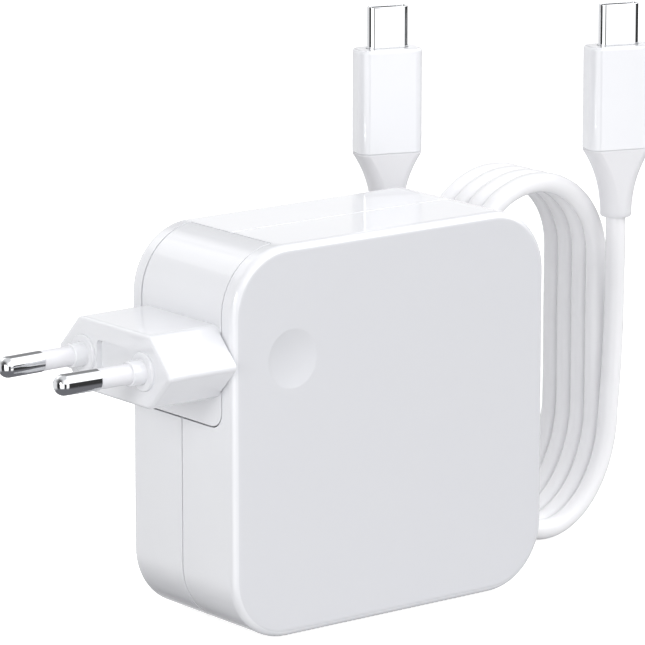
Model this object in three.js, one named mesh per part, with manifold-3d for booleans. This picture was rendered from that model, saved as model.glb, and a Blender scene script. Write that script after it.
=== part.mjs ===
// Laptop power adapter: a square charging brick that stands on a narrow edge, a mains plug head
// that slides off one corner of it, and a detachable USB-C cable wound into an upright coil.
// Millimetres. +X to the right, +Y to the back, +Z up. The brick's large front faces -Y, and
// the mains pins point towards -X.

import * as THREE from "three";
import { mergeVertices } from "three/addons/utils/BufferGeometryUtils.js";
import Module from "manifold-3d";

const wasm = await Module();
wasm.setup();

const GAP = 0.3; // between pieces that touch

// Brick housing
const WIDTH = 74;
const DEPTH = 32;
const HEIGHT = 74;
const CORNER = 12.5; // radius of the square's four corners
const EDGE = 1.6; // rounding between the sides and the two large faces
const WALL = 2;
const DIMPLE = { x: -23.4, z: 52.7, radius: 5.8, depth: 0.8 };

// Corner recess and the plug head that fills it
const RECESS = { depth: 11.5, width: 25, floor: 40.5, corner: 3.3, wall: 1.6 };
const HEAD_WALL = 1.6;
const INLET = { x: -32.1, spacing: 8.6, pin: 2.4, height: 9 };
const STUD = { z: 56, neck: 5, head: 8, reach: 3.5, headLength: 1.4 };

// Mains plug body and pins, to the flat two-pin 2.5 A pattern
const PLUG = { z: 53.2, width: 35.3, thickness: 13.7, flat: 22, reach: 15.3, wall: 1.9 };
const PIN = { length: 19, metal: 9, diameter: 4, shank: 2.4, spacing: 18.6, tipSpacing: 17.5 };
const SLEEVE = { diameter: 3.8, bore: 3, base: 3.4, baseDiameter: 4.6 };

// USB-C receptacle, half way up the side away from the mains pins
const PORT_Z = HEIGHT / 2;
const PORT = { width: 9.6, height: 3.8 };
const RECEPTACLE = { width: 8.94, height: 3.16, wall: 0.3, length: 7.4 };

// Cable, its coil and its two plugs
const CABLE = 4;
const PITCH = CABLE + GAP; // from one turn to the next
const COIL = { x: 57.7, half: 16.3, height: 73.5, drop: 22.5, front: 7.5, turns: 4 };
const USB = { width: 8.34, height: 2.56, wall: 0.3, length: 8.2, held: 3 };
const GRIP = { width: 13.4, height: 7, corner: 2.4, length: 20.5, relief: 13.5, collar: 6.2, turn: -18 };

// The frame's origin is under the middle of the brick and plug head taken together.
const PLUG_END = -WIDTH / 2 - PLUG.reach - PIN.length;
const SHIFT = -(WIDTH / 2 + PLUG_END) / 2;

const FINISHES = {
  satinShell: { color: 0xe1e2e5, roughness: 0.42, metalness: 0 },
  glossShell: { color: 0xf2f3f5, roughness: 0.2, metalness: 0 },
  sleeve: { color: 0xefeff2, roughness: 0.45, metalness: 0 },
  nickel: { color: 0xd6d8da, roughness: 0.12, metalness: 1 },
  steel: { color: 0xc9cbcd, roughness: 0.25, metalness: 1 },
  brass: { color: 0xc9a24a, roughness: 0.3, metalness: 1 },
  aluminium: { color: 0xb9bcc0, roughness: 0.4, metalness: 1 },
  cable: { color: 0xf0f0f1, roughness: 0.5, metalness: 0 },
  strap: { color: 0xe4e4e6, roughness: 0.9, metalness: 0 },
  black: { color: 0x1d1d1f, roughness: 0.5, metalness: 0 },
  laminate: { color: 0x1f6b3a, roughness: 0.5, metalness: 0 },
  ferrite: { color: 0x2b2c2f, roughness: 0.7, metalness: 0 },
  tape: { color: 0xe0b838, roughness: 0.4, metalness: 0 },
  film: { color: 0xdcdccf, roughness: 0.35, metalness: 0 },
  copper: { color: 0xb5683a, roughness: 0.35, metalness: 1 },
  epoxy: { color: 0x2d5fa8, roughness: 0.4, metalness: 0 },
};

// ---------------------------------------------------------------- shapes

function roundedRectangle(width, height, radius, x = 0, y = 0) {
  const right = x + width / 2 - radius;
  const left = x - width / 2 + radius;
  const top = y + height / 2 - radius;
  const bottom = y - height / 2 + radius;
  const shape = new THREE.Shape();
  shape.absarc(right, top, radius, 0, 0.5 * Math.PI);
  shape.absarc(left, top, radius, 0.5 * Math.PI, Math.PI);
  shape.absarc(left, bottom, radius, Math.PI, 1.5 * Math.PI);
  shape.absarc(right, bottom, radius, 1.5 * Math.PI, 2 * Math.PI);
  return shape;
}

function capsule(width, height, x = 0, y = 0) {
  return roundedRectangle(width, height, Math.min(width, height) / 2, x, y);
}

// A shape pushed along one axis from low to high. Its own x and y lie along X and Y for a push
// along Z, along X and Z for a push along Y, and along Y and Z for a push along X.
function slab(shape, axis, low, high, edge = 0, steps = 4) {
  const geometry = new THREE.ExtrudeGeometry(shape, {
    depth: high - low - 2 * edge,
    curveSegments: steps,
    bevelEnabled: edge > 0,
    bevelSize: edge,
    bevelThickness: edge,
    bevelOffset: -edge,
    bevelSegments: 2,
  });
  if (axis === "y") {
    return geometry.translate(0, 0, edge - high).rotateX(Math.PI / 2);
  }
  geometry.translate(0, 0, low + edge);
  if (axis === "x") {
    const [x, y, z] = [[1, 0, 0], [0, 1, 0], [0, 0, 1]].map((v) => new THREE.Vector3(...v));
    geometry.applyMatrix4(new THREE.Matrix4().makeBasis(y, z, x));
  }
  return geometry;
}

function block(x, y, z) {
  const size = [x, y, z].map(([low, high]) => high - low);
  const middle = [x, y, z].map(([low, high]) => (low + high) / 2);
  return new THREE.BoxGeometry(...size).translate(...middle);
}

// A profile of [radius, height] pairs, listed upwards and outside first, spun about Z.
function turned(profile, sides = 20) {
  const points = profile.map(([r, h]) => new THREE.Vector2(r, h));
  return new THREE.LatheGeometry(points, sides).rotateX(Math.PI / 2);
}

function rod(radius, low, high, sides = 20) {
  return turned([[0, low], [radius, low], [radius, high], [0, high]], sides);
}

// The profile closes on itself, so the tube is open at both ends.
function pipe(outer, inner, low, high, sides = 20) {
  const profile = [[inner, low], [outer, low], [outer, high], [inner, high], [inner, low]];
  return turned(profile, sides);
}

// ---------------------------------------------------------------- booleans

function solid(geometry) {
  const bare = geometry.clone();
  bare.deleteAttribute("normal");
  bare.deleteAttribute("uv");
  const merged = mergeVertices(bare, 1e-4);
  const corners = merged.index.array;
  const triangles = [];
  for (let i = 0; i < corners.length; i += 3) {
    const [a, b, c] = corners.slice(i, i + 3);
    if (a !== b && b !== c && c !== a) triangles.push(a, b, c);
  }
  return new wasm.Manifold(new wasm.Mesh({
    numProp: 3,
    vertProperties: new Float32Array(merged.attributes.position.array),
    triVerts: new Uint32Array(triangles),
  }));
}

function surface(manifold) {
  const mesh = manifold.getMesh();
  const geometry = new THREE.BufferGeometry();
  geometry.setAttribute("position", new THREE.BufferAttribute(mesh.vertProperties, 3));
  geometry.setIndex(new THREE.BufferAttribute(mesh.triVerts, 1));
  geometry.computeVertexNormals();
  return geometry;
}

function join(first, ...others) {
  return others.reduce((all, one) => all.add(solid(one)), solid(first));
}

function cut(whole, ...tools) {
  return tools.reduce((rest, tool) => rest.subtract(solid(tool)), whole);
}

const adapter = new THREE.Group();
adapter.position.x = SHIFT;

function place(name, piece, finish, group = adapter) {
  const geometry = piece.isBufferGeometry ? surface(solid(piece)) : surface(piece);
  const material = new THREE.MeshStandardMaterial(FINISHES[finish]);
  const mesh = new THREE.Mesh(geometry, material);
  mesh.name = name;
  group.add(mesh);
}

// ---------------------------------------------------------------- housing

const recessBack = -WIDTH / 2 + RECESS.depth;
const recessSide = RECESS.width / 2;
const boardFace = 10.2; // the parts' side of the main circuit board

// The corner's block of space, rounded at its two lower corners, with its walls moved out.
function cornerBlock(side, floor, radius, low, high) {
  const top = HEIGHT + 2 * radius;
  const shape = roundedRectangle(2 * side, top - floor, radius, 0, (top + floor) / 2);
  return slab(shape, "x", low, high);
}

function dimpleCutter() {
  const { radius, depth } = DIMPLE;
  const sphere = (radius * radius + depth * depth) / (2 * depth);
  const front = -DEPTH / 2;
  const profile = [[0, front - 1], [radius, front - 1]];
  for (let i = 0; i <= 5; i++) {
    const r = radius * (1 - i / 5);
    profile.push([r, front + depth - sphere + Math.sqrt(sphere * sphere - r * r)]);
  }
  const points = profile.map(([r, y]) => new THREE.Vector2(r, y));
  return new THREE.LatheGeometry(points, 28).translate(DIMPLE.x, 0, DIMPLE.z);
}

function housing() {
  const outside = roundedRectangle(WIDTH, HEIGHT, CORNER, 0, HEIGHT / 2);
  const inside = roundedRectangle(WIDTH - 2 * WALL, HEIGHT - 2 * WALL, CORNER - WALL, 0, HEIGHT / 2);
  const inner = DEPTH / 2 - WALL;
  const linerBack = recessBack + RECESS.wall;
  const liner = block([-WIDTH, linerBack], [-DEPTH, DEPTH], [RECESS.floor - RECESS.wall, HEIGHT]);
  const hollow = cut(solid(slab(inside, "y", -inner, inner)), liner);
  const inletHole = block([INLET.x - 2.5, INLET.x + 2.5], [-8, 8], [RECESS.floor - 3, RECESS.floor + 1]);
  const studHole = rod(1.8, -2, 4, 12).rotateY(Math.PI / 2).translate(recessBack, 0, STUD.z);
  const portHole = slab(capsule(PORT.height, PORT.width, 0, PORT_Z), "x", WIDTH / 2 - 3, WIDTH / 2 + 1);
  const recess = cornerBlock(recessSide, RECESS.floor, RECESS.corner, -WIDTH / 2 - 1, recessBack);
  const shell = solid(slab(outside, "y", -DEPTH / 2, DEPTH / 2, EDGE)).subtract(hollow);
  return cut(shell, recess, inletHole, studHole, portHole, dimpleCutter());
}

function addHousing() {
  const whole = housing();
  const half = (low, high) => solid(block([-WIDTH, WIDTH], [low, high], [-1, HEIGHT + 1]));
  place("front_shell", whole.intersect(half(-DEPTH, -GAP / 2)), "satinShell");
  place("back_shell", whole.intersect(half(GAP / 2, DEPTH)), "glossShell");
}

function addInlet() {
  const top = RECESS.floor;
  const low = top - 7.5;
  const body = block([INLET.x - 2.2, INLET.x + 2.2], [-7.7, 7.7], [low, top]);
  const sides = [["front", -1], ["rear", 1]];
  const holes = sides.map(([, side]) => rod(INLET.pin / 2 + GAP, low - 1, top + 1, 16)
    .translate(INLET.x, side * INLET.spacing / 2, 0));
  place("inlet_block", cut(solid(body), ...holes), "black");
  for (const [name, side] of sides) {
    const r = INLET.pin / 2;
    const tip = top + INLET.height;
    const pin = turned([[0, low - 2], [r, low - 2], [r, tip - 0.8], [r * 0.55, tip], [0, tip]], 16);
    place(`inlet_pin_${name}`, pin.translate(INLET.x, side * INLET.spacing / 2, 0), "nickel");
  }
}

// The earth stud stands out of the recess's back wall; the plug head's slot slides behind its head.
function addStud() {
  const reach = STUD.reach;
  const neck = reach - STUD.headLength;
  const [n, h] = [STUD.neck / 2, STUD.head / 2];
  const profile = [[0, -3], [1.5, -3], [1.5, GAP], [n, GAP], [n, neck], [h, neck], [h, reach - 0.3],
    [h - 0.5, reach], [0, reach]];
  const stud = turned(profile, 24).rotateY(-Math.PI / 2).translate(recessBack, 0, STUD.z);
  place("ground_stud", stud, "nickel");
}

// ---------------------------------------------------------------- inside the brick

// A flat sheet that fills the housing from side to side, notched for the plug head's recess.
function sheet(low, high, margin) {
  const outline = roundedRectangle(WIDTH - 2 * margin, HEIGHT - 2 * margin, CORNER - margin, 0, HEIGHT / 2);
  const notch = block([-WIDTH, recessBack + 2.5], [-DEPTH, DEPTH], [RECESS.floor - 4, HEIGHT]);
  return cut(solid(slab(outline, "y", low, high)), notch);
}

function addBoards() {
  place("circuit_board", sheet(boardFace, boardFace + 1.6, 3), "laminate");
  place("insulator_back", sheet(12.6, 13, 3.5), "film");
  place("insulator_front", sheet(-13.6, -13.2, 3.5), "film");
  const spreader = block([-20, 32], [-12.8, -11.8], [8, 68]);
  place("heat_spreader", spreader, "aluminium");
  const output = block([20, 33.4], [2.3, 3.3], [PORT_Z - 11, PORT_Z + 11]);
  place("output_board", output, "laminate");
}

function addTransformer() {
  const [x, y, z] = [2, 0, PORT_Z];
  const outer = roundedRectangle(28, 20, 0.6, x, y);
  outer.holes.push(roundedRectangle(19, 13, 0.6, x, y));
  place("transformer_core", slab(outer, "z", z - 7, z + 7, 0, 1), "ferrite");
  const winding = slab(roundedRectangle(18.4, 12.4, 3, x, y), "z", z - 12, z + 12, 0, 3);
  place("transformer_winding", winding, "tape");
}

// An electrolytic can: a rolled neck near the base and a pressed top.
function can(radius, low, high) {
  const r = radius;
  const profile = [[0, low], [r, low], [r, low + 1.5], [r - 0.4, low + 2], [r, low + 2.5],
    [r, high - 0.6], [r - 0.6, high], [r - 1.4, high - 0.3], [0, high - 0.3]];
  return turned(profile, 20);
}

function addCapacitors() {
  for (const [i, x] of [-26.5, -13.8].entries()) {
    place(`bulk_capacitor_${i + 1}`, can(6.2, 7, 30).translate(x, -3, 0), "black");
  }
  for (const [i, z] of [9, 19].entries()) {
    const small = can(4, -4.5, 9).rotateX(Math.PI / 2).translate(27, 5, z);
    place(`output_capacitor_${i + 1}`, small, "aluminium");
  }
  place("mains_filter_capacitor", block([-21, -15.5], [-4, boardFace - GAP], [38, 53]), "tape");
  const disc = rod(4, -1.6, 1.6, 18).rotateY(Math.PI / 2).translate(14, 5.5, 15);
  place("safety_capacitor", disc, "epoxy");
}

function addPowerParts() {
  const choke = pipe(7.6, 3.2, -4, 4, 22).rotateX(Math.PI / 2).translate(-13.5, 3, 62);
  place("line_filter_choke", choke, "copper");
  const fuse = rod(1.8, -5, 5, 14).rotateY(Math.PI / 2).translate(-23.5, 6.5, 33);
  place("fuse", fuse, "film");
  place("bridge_rectifier", block([-4, 11], [5.5, boardFace - GAP], [57, 67]), "black");
  place("power_transistor", block([17, 27], [4, boardFace - GAP], [54, 68]), "black");
}

function addReceptacle() {
  const right = WIDTH / 2 - 0.2;
  const left = right - RECEPTACLE.length;
  const { width, height, wall } = RECEPTACLE;
  const shell = solid(slab(capsule(height, width, 0, PORT_Z), "x", left, right));
  const hole = slab(capsule(height - 2 * wall, width - 2 * wall, 0, PORT_Z), "x", left + 0.8, right + 1);
  place("usb_receptacle_shell", cut(shell, hole), "steel");
  const tongue = block([left + 1.1, right - 1.5], [-0.35, 0.35], [PORT_Z - 3.3, PORT_Z + 3.3]);
  place("usb_receptacle_tongue", tongue, "black");
}

// ---------------------------------------------------------------- plug head

const headBack = recessBack - GAP;
const face = -WIDTH / 2 - PLUG.reach;
const cavityBack = -WIDTH / 2 + HEAD_WALL;
const plateFront = headBack - 1.5;

// The elongated hexagon of the plug body, drawn in from its outline by the inset.
function hexagon(inset) {
  const half = PLUG.thickness / 2;
  const slope = Math.atan2(half, PLUG.width / 2 - PLUG.flat / 2);
  const tip = PLUG.width / 2 - inset / Math.sin(slope);
  const low = half - inset;
  const flat = tip - low / Math.tan(slope);
  const corners = [[tip, 0], [flat, low], [-flat, low], [-tip, 0], [-flat, -low], [flat, -low]];
  return new THREE.Shape(corners.map(([y, z]) => new THREE.Vector2(y, PLUG.z + z)));
}

// Puts a turned piece at a pin's place: its +Z points out of the plug's face, leaning inwards.
function atPin(geometry, side) {
  const lean = Math.atan2((PIN.spacing - PIN.tipSpacing) / 2, PIN.length);
  return geometry.rotateY(-Math.PI / 2).rotateZ(side * lean)
    .translate(face, side * PIN.spacing / 2, PLUG.z);
}

function headCover() {
  const side = recessSide - GAP;
  const floor = RECESS.floor + GAP;
  const outside = slab(roundedRectangle(WIDTH, HEIGHT, CORNER, 0, HEIGHT / 2), "y", -side, side, 0, 6);
  const corner = cornerBlock(side, floor, RECESS.corner - GAP, -WIDTH / 2 - 1, headBack);
  const plug = slab(hexagon(0), "x", face, -WIDTH / 2 - GAP, 0.5);
  const root = solid(slab(hexagon(0), "x", -WIDTH / 2 - 2, -WIDTH / 2 + 1))
    .intersect(solid(block([-WIDTH, 0], [-side, side], [0, HEIGHT])));
  const collars = [-1, 1].flatMap((s) => [
    atPin(rod(SLEEVE.baseDiameter / 2, -1, SLEEVE.base, 16), s),
    atPin(rod(3.6, -1, 0.6, 20), s),
  ]);
  return collars.reduce((all, one) => all.add(solid(one)),
    solid(outside).intersect(solid(corner)).add(solid(plug)).add(root));
}

function headHollow() {
  const side = recessSide - GAP - HEAD_WALL;
  const low = RECESS.floor + GAP + HEAD_WALL;
  const inside = roundedRectangle(WIDTH - 2 * HEAD_WALL, HEIGHT - 2 * HEAD_WALL, CORNER - HEAD_WALL,
    0, HEIGHT / 2);
  const room = solid(slab(inside, "y", -side, side, 0, 6))
    .intersect(solid(block([cavityBack, headBack + 1], [-side, side], [low, HEIGHT])));
  const passage = solid(slab(hexagon(PLUG.wall), "x", face + 5, cavityBack + 1))
    .intersect(solid(block([-WIDTH, 0], [-side, side], [0, HEIGHT])));
  const nose = solid(slab(hexagon(PLUG.wall), "x", face + 2.5, -WIDTH / 2 - 1.5));
  return room.add(passage).add(nose);
}

function addPlugHead() {
  const floor = RECESS.floor;
  const pinHoles = [-1, 1].map((s) => atPin(rod(SLEEVE.bore / 2, -8, SLEEVE.base + 1, 16), s));
  const socketHoles = [-1, 1].map((s) => rod(1.6, floor - 1, floor + 3, 16)
    .translate(INLET.x, s * INLET.spacing / 2, 0));
  const betweenPins = block([face - 1, face + 1.2], [-5, 5], [PLUG.z - 3.4, PLUG.z + 3.4]);
  const neckSlot = block([plateFront - 0.1, headBack + 1], [-2.8, 2.8], [floor - 1, floor + 3]);
  const headSlot = block([plateFront - 2, plateFront], [-4.4, 4.4], [floor - 1, floor + 3]);
  const cover = cut(headCover().subtract(headHollow()), ...pinHoles, ...socketHoles, betweenPins,
    neckSlot, headSlot);
  place("plug_head_cover", cover, "glossShell");

  const plateSide = recessSide - 2 * GAP - HEAD_WALL;
  const plateLow = floor + 2 * GAP + HEAD_WALL;
  const plateHigh = HEIGHT - HEAD_WALL - 0.7;
  const plate = block([plateFront, headBack], [-plateSide, plateSide], [plateLow, plateHigh]);
  const slotTop = STUD.z + STUD.neck / 2 + GAP;
  const slot = slab(capsule(STUD.neck + 2 * GAP, slotTop - floor + 8, 0, (slotTop + floor - 8) / 2),
    "x", plateFront - 1, headBack + 1);
  place("plug_head_back_plate", cut(solid(plate), slot), "satinShell");
}

function addPins() {
  const r = PIN.diameter / 2;
  const shoulder = PIN.length - PIN.metal;
  const profile = [[0, -13.5], [PIN.shank / 2, -13.5], [PIN.shank / 2, shoulder], [r, shoulder],
    [r, PIN.length - 1.6], [r * 0.86, PIN.length - 0.8], [r * 0.5, PIN.length - 0.15], [0, PIN.length]];
  for (const [name, side] of [["front", -1], ["rear", 1]]) {
    place(`plug_pin_${name}`, atPin(turned(profile, 18), side), "nickel");
    const sleeve = pipe(SLEEVE.diameter / 2, SLEEVE.bore / 2, SLEEVE.base + GAP, shoulder - GAP, 16);
    place(`pin_sleeve_${name}`, atPin(sleeve, side), "sleeve");
    addContact(name, side);
  }
}

// A contact grips one inlet pin in its tube, and its strap carries the current to a mains pin.
function addContact(name, side) {
  const low = RECESS.floor + 2.2;
  const high = low + 7.8;
  const y = INLET.spacing / 2;
  const tube = pipe(2, 1.5, low, high, 16).translate(INLET.x, side * y, 0);
  const across = [y - 0.9, 10.2].map((v) => side * v).sort((a, b) => a - b);
  const up = [8.7, 10.2].map((v) => side * v).sort((a, b) => a - b);
  const bridge = block([INLET.x - 1, INLET.x + 1], across, [high - 0.3, high + 0.8]);
  const arm = block([face + 13.5 + 2 * GAP, INLET.x + 1], up, [high + 0.3, PLUG.z + 1.7]);
  place(`socket_contact_${name}`, join(tube, bridge, arm), "brass");
}

// ---------------------------------------------------------------- cable

const lastTurn = COIL.front + PITCH;
const firstTurn = lastTurn + (COIL.turns - 1) * PITCH;
const leadBack = firstTurn + PITCH;
const rightSide = COIL.x + COIL.half;
const leftSide = COIL.x - COIL.half;
const leftPlug = { x: leftSide - 7, y: leadBack, z: 63.9 };
const rightPlug = { x: rightSide, y: COIL.front - 1.5, z: 63.5 };

// The right lead leaves the last turn at the bottom, passes in front of the coil and stands up.
const RIGHT_LEAD = [
  [COIL.x, COIL.front, 2.1],
  [COIL.x + 4.2, COIL.front, 2.8],
  [COIL.x + 8.2, COIL.front, 5.1],
  [COIL.x + 11.5, COIL.front, 8.6],
  [COIL.x + 14.1, COIL.front, 13.3],
  [COIL.x + 15.7, COIL.front, 18.7],
  [rightSide, COIL.front, 24.5],
  [rightSide + 0.6, COIL.front, 31],
  [rightSide + 1.0, COIL.front, 38],
  [rightSide + 1.1, COIL.front - 0.1, 44],
  [rightSide + 0.9, COIL.front - 0.4, 50],
  [rightSide + 0.4, COIL.front - 1.1, 57],
  [rightPlug.x, rightPlug.y, rightPlug.z],
];

// The left lead climbs behind the coil and leans over to the back of the brick.
const LEFT_LEAD = [
  [leftSide, leadBack, 24.6],
  [leftSide, leadBack, 31],
  [leftSide, leadBack, 36],
  [leftSide - 0.5, leadBack, 41],
  [leftSide - 2.2, leadBack, 46.5],
  [leftSide - 4.3, leadBack, 52],
  [leftSide - 6.2, leadBack, 58],
  [leftPlug.x, leftPlug.y, leftPlug.z],
];

function lead(route, steps) {
  const path = new THREE.CatmullRomCurve3(route.map((p) => new THREE.Vector3(...p)), false, "centripetal");
  const section = new THREE.Shape();
  section.absarc(0, 0, CABLE / 2, 0, 2 * Math.PI);
  return new THREE.ExtrudeGeometry(section, { extrudePath: path, steps, curveSegments: 5 });
}

// The outline of the coil's turns, round at the top and longer at the bottom, grown from their
// centreline.
function coilOutline(grown) {
  const r = COIL.half;
  const shape = new THREE.Shape();
  shape.absarc(COIL.x, COIL.height - CABLE / 2 - r, r + grown, 0, Math.PI);
  shape.absellipse(COIL.x, CABLE / 2 + COIL.drop, r + grown, COIL.drop + grown, Math.PI, 2 * Math.PI);
  return shape;
}

function addCable(group) {
  const outline = coilOutline(CABLE / 2);
  outline.holes.push(coilOutline(-CABLE / 2));
  const coil = slab(outline, "y", lastTurn - CABLE / 2, firstTurn + CABLE / 2, 0, 8);
  place("cable_coil", coil, "cable", group);
  place("cable_lead_right", lead(RIGHT_LEAD, 9), "cable", group);
  place("cable_lead_left", lead(LEFT_LEAD, 6), "cable", group);

  const [thick, height] = [1.2, 10];
  const reach = CABLE / 2 + GAP;
  const bundle = [2 * reach, leadBack - lastTurn + 2 * reach];
  const middle = [leftSide, (leadBack + lastTurn) / 2];
  const strap = roundedRectangle(bundle[0] + 2 * thick, bundle[1] + 2 * thick, 2, ...middle);
  strap.holes.push(roundedRectangle(bundle[0], bundle[1], 0.8, ...middle));
  place("cable_tie", slab(strap, "z", 25.5, 25.5 + height, 0, 2), "strap", group);
}

// A soft strain relief that flares from a round collar to the flat outline of the grip.
function strainRelief() {
  const across = (t) => GRIP.collar + (GRIP.width - GRIP.collar) * t ** 2.2;
  const through = (t) => GRIP.collar + (GRIP.height - GRIP.collar) * t;
  const profile = [[0, 0]];
  for (let i = 0; i <= 5; i++) {
    profile.push([across(i / 5) / 2, GRIP.relief * i / 5]);
  }
  profile.push([0, GRIP.relief]);
  const geometry = turned(profile, 24);
  const at = geometry.attributes.position;
  for (let i = 0; i < at.count; i++) {
    const t = Math.max(0, at.getZ(i) / GRIP.relief);
    at.setY(i, at.getY(i) * through(t) / across(t));
  }
  return geometry;
}

function addUsbPlug(name, at, group) {
  const plug = new THREE.Group();
  plug.position.set(at.x, at.y, at.z + GAP);
  plug.rotation.z = THREE.MathUtils.degToRad(GRIP.turn);
  group.add(plug);
  place(`strain_relief_${name}`, strainRelief(), "cable", plug);

  const low = GRIP.relief + GAP;
  const high = low + GRIP.length;
  const tip = high + USB.length;
  const outline = roundedRectangle(GRIP.width, GRIP.height, GRIP.corner);
  const grip = solid(slab(outline, "z", low, high, 0.5, 5));
  const pocket = slab(capsule(USB.width + 2 * GAP, USB.height + 2 * GAP), "z", high - USB.held - GAP, high + 1);
  place(`usb_plug_grip_${name}`, cut(grip, pocket), "glossShell", plug);

  const outer = capsule(USB.width, USB.height);
  outer.holes.push(capsule(USB.width - 2 * USB.wall, USB.height - 2 * USB.wall));
  place(`usb_plug_shell_${name}`, slab(outer, "z", high - USB.held, tip), "steel", plug);

  const inset = 2 * (USB.wall + GAP);
  const core = solid(slab(capsule(USB.width - inset, USB.height - inset), "z", high - USB.held, tip - 0.8));
  const mouth = block([-3.1, 3.1], [-0.36, 0.36], [high - 0.5, tip]);
  place(`usb_plug_core_${name}`, cut(core, mouth), "brass", plug);
}

// ---------------------------------------------------------------- assembly

addHousing();
addInlet();
addStud();
addBoards();
addTransformer();
addCapacitors();
addPowerParts();
addReceptacle();
addPlugHead();
addPins();

const cable = new THREE.Group();
adapter.add(cable);
addCable(cable);
addUsbPlug("left", leftPlug, cable);
addUsbPlug("right", rightPlug, cable);

const model = new THREE.Group();
model.add(adapter);
model.updateMatrixWorld(true);

export default model;
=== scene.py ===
"""A laptop power adapter, built around its CAD frame: the brick, the plug head that slides off
its corner, and the USB-C cable wound into an upright coil beside it.

A piece is made in millimetres in the brick's own frame, whose origin is under the middle of the
brick, with +X away from the mains pins, +Y to the back and +Z up. It is cut and joined there, and
dress() then puts it in the row frame, in metres.
"""

import math

import bmesh
import bpy
from bpy.props import FloatProperty, IntProperty, PointerProperty, StringProperty
from mathutils import Matrix, Vector


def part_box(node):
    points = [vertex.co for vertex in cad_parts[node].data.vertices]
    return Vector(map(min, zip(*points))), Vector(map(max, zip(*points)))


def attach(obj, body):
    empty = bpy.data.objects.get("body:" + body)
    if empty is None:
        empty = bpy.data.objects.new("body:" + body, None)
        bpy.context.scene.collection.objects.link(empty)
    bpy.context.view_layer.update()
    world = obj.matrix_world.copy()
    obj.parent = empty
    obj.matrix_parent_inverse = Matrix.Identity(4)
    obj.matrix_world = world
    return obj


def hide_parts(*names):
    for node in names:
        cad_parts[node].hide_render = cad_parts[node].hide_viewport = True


bl_info = {
    "name": "Laptop power adapter",
    "version": (1, 0, 0),
    "blender": (4, 5, 0),
    "location": "3D View > Sidebar > Adapter",
    "description": "Builds a charging brick, its plug head and its USB-C cable",
    "category": "Add Mesh",
}

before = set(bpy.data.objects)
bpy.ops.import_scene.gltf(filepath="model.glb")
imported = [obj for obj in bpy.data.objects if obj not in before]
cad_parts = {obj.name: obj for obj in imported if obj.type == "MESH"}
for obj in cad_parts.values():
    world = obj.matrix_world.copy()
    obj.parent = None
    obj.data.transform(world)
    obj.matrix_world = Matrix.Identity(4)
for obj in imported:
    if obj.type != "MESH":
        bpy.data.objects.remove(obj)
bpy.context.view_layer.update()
MM = 0.001
MIDDLE = (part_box("front_shell")[0].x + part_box("front_shell")[1].x) / 2
ROW = Matrix.Translation((MIDDLE, 0, 0)) @ Matrix.Scale(MM, 4)
GAP = 0.3  # between pieces that touch


# ------------------------------------------------------------------ sizes and colours


def length(name, description, millimetres):
    return FloatProperty(
        name=name, description=description, default=millimetres * MM, unit="LENGTH",
    )


def angle(name, description, degrees):
    return FloatProperty(
        name=name, description=description, default=math.radians(degrees), subtype="ANGLE",
    )


def colour(name, description, value):
    return StringProperty(
        name=name, description=description + ", as an sRGB hex value", default=value,
    )


class BrickSettings(bpy.types.PropertyGroup):
    """The charging brick"""

    width: length("Width", "Side to side, across the large faces", 74)
    depth: length("Depth", "Between the two large faces", 32)
    height: length("Height", "From the edge it stands on to the top edge", 74)
    corner: length("Corner radius", "Of the four corners of the large faces", 12.5)
    edge: length("Edge radius", "Between the sides and the large faces", 1.6)
    wall: length("Wall", "Thickness of the shells", 2)
    dimple: length("Dimple diameter", "Of the round dimple in the front", 11.6)
    face_colour: colour("Face colour", "Of the satin large faces", "#DBDCDF")
    side_colour: colour("Side colour", "Of the glossy sides and plug head", "#F2F3F5")


class HeadSettings(bpy.types.PropertyGroup):
    """The plug head and its recess"""

    recess: length("Recess depth", "From the side of the brick inwards", 11.5)
    width: length("Recess width", "Across the brick's thickness", 25)
    floor: length("Recess floor", "Height of the recess's floor", 40.5)
    corner: length("Recess corner", "Radius of the recess's lower corners", 3.3)
    plug_height: length("Plug height", "Height of the mains pins", 53.2)
    plug_width: length("Plug width", "Of the flat plug body, tip to tip", 35.3)
    plug_thickness: length("Plug thickness", "Of the flat plug body", 13.7)
    plug_reach: length("Plug reach", "Of the plug body, out of the brick's side", 15.3)
    pin_length: length("Pin length", "Out of the plug's face", 19)
    pin_diameter: length("Pin diameter", "Of the bare metal", 4)
    pin_spacing: length("Pin spacing", "Between the pins, at the plug's face", 18.6)


class CableSettings(bpy.types.PropertyGroup):
    """The USB-C cable, its coil and its plugs"""

    diameter: length("Cable diameter", "Of the jacket", 4)
    half_width: length("Coil half width", "From the coil's middle to a side's centreline", 16.3)
    height: length("Coil height", "Outside, from the floor", 73.5)
    turns: IntProperty(name="Turns", description="Full turns in the coil", default=4)
    drop: length("Coil drop", "Height of the coil's long lower ends", 22.5)
    turn: angle("Plug turn", "Of both plugs, about their cables", -18)
    grip_width: length("Grip width", "Of the plug's moulded body", 13.4)
    grip_thickness: length("Grip thickness", "Of the plug's moulded body", 7)
    grip_length: length("Grip length", "Of the plug's moulded body", 20.5)
    relief_length: length("Relief length", "Of the plug's strain relief", 13.5)
    shell_length: length("Shell length", "Out of the plug's moulded body", 8.2)
    shell_width: length("Shell width", "Of the steel shell", 8.34)
    shell_thickness: length("Shell thickness", "Of the steel shell", 2.56)
    jacket_colour: colour("Jacket colour", "Of the cable and its strain reliefs", "#FBFBFC")


class StageSettings(bpy.types.PropertyGroup):
    """Camera, floor and lights"""

    azimuth: angle("Azimuth", "Of the camera, from straight in front", -37.871)
    elevation: angle("Elevation", "Of the camera, above the horizon", 12.706)
    distance: length("Distance", "From the camera to the adapter", 900)
    lens: FloatProperty(name="Lens", description="Focal length in millimetres", default=267.7)
    key: FloatProperty(name="Key light", description="Power of the main softbox", default=0.7)


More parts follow.
